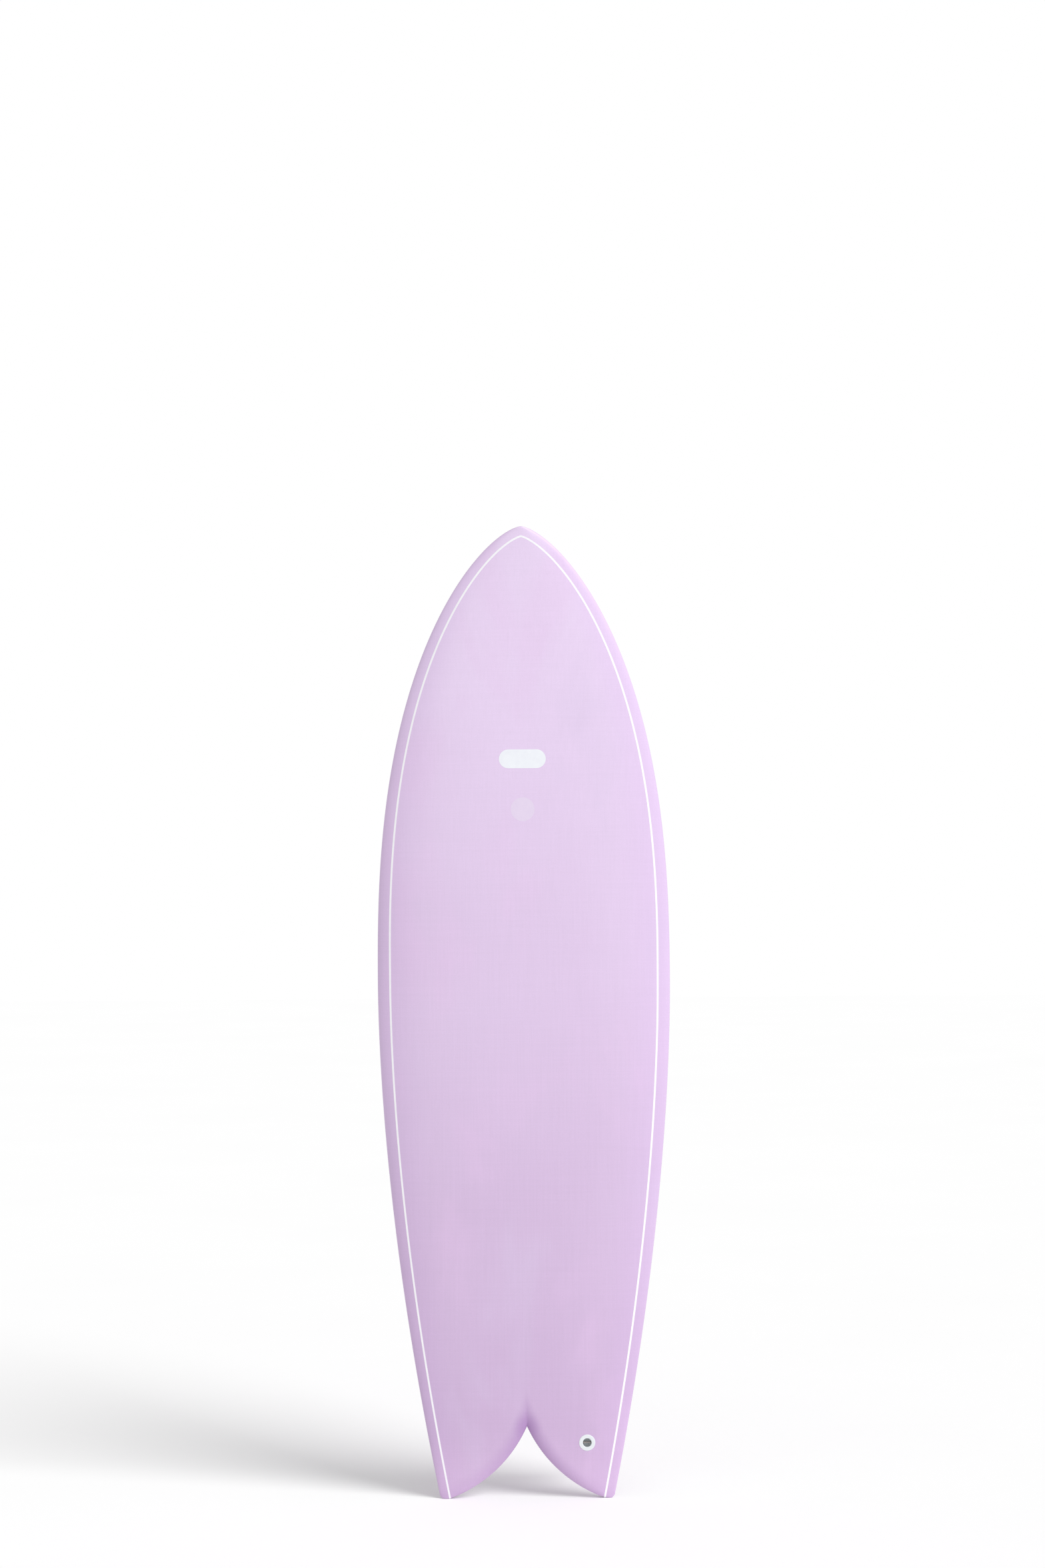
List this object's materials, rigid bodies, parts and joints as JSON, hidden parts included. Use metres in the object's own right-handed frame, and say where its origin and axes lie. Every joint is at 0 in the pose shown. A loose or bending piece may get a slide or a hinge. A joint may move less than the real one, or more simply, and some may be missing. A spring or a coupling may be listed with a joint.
{
  "type": "surfboard",
  "caption": "Short swallow-tail twin-fin surfboard: foam core with stringer and tinted laminate, pinline, leash plug, and removable fins in boxes.",
  "frame": {"origin": "level with the ends of the two tail tips on which the board stands, on the stringer's plane, midway in depth between the nose and the fin tips", "axes": "+Z from the tail to the nose, +X to the right of a surfer on the deck, -Y out of the deck, +Y out of the bottom, where the fins are"},
  "size_m": [0.5316, 0.2144, 1.7525],
  "materials": {
    "foam": "matte",
    "dense_foam": "matte",
    "stringer_wood": "matte",
    "deck_laminate": "satin",
    "rail_laminate": "satin",
    "white_resin": "satin",
    "mark_white": "satin",
    "plug_plastic": "satin",
    "box_plastic": "satin",
    "steel": "satin",
    "fin_fibreglass": "satin"
  },
  "bodies": {
    "board": {"foam_core_left": "foam", "foam_core_right": "foam", "stringer": "stringer_wood", "deck_glass": "deck_laminate", "bottom_glass": "rail_laminate", "pinline_left": "white_resin", "pinline_right": "white_resin", "deck_pill": "mark_white", "deck_disc": "mark_white", "leash_plug_cup": "plug_plastic", "leash_pin": "steel", "leash_plug_insert": "dense_foam", "fin_box_left": "box_plastic", "fin_box_right": "box_plastic", "fin_box_insert_left": "dense_foam", "fin_box_insert_right": "dense_foam", "fin_screws_left": "steel", "fin_screws_right": "steel"},
    "fin_left": {"fin_left": "fin_fibreglass"},
    "fin_right": {"fin_right": "fin_fibreglass"}
  },
  "joints": [
    {"name": "fin_left_pull", "type": "slide", "parent": "board", "child": "fin_left", "axis": [-0.0871, 0.9923, -0.0875], "range_m": [0, 0.02]},
    {"name": "fin_right_pull", "type": "slide", "parent": "board", "child": "fin_right", "axis": [0.0871, 0.9923, -0.0875], "range_m": [0, 0.02]}
  ]
}
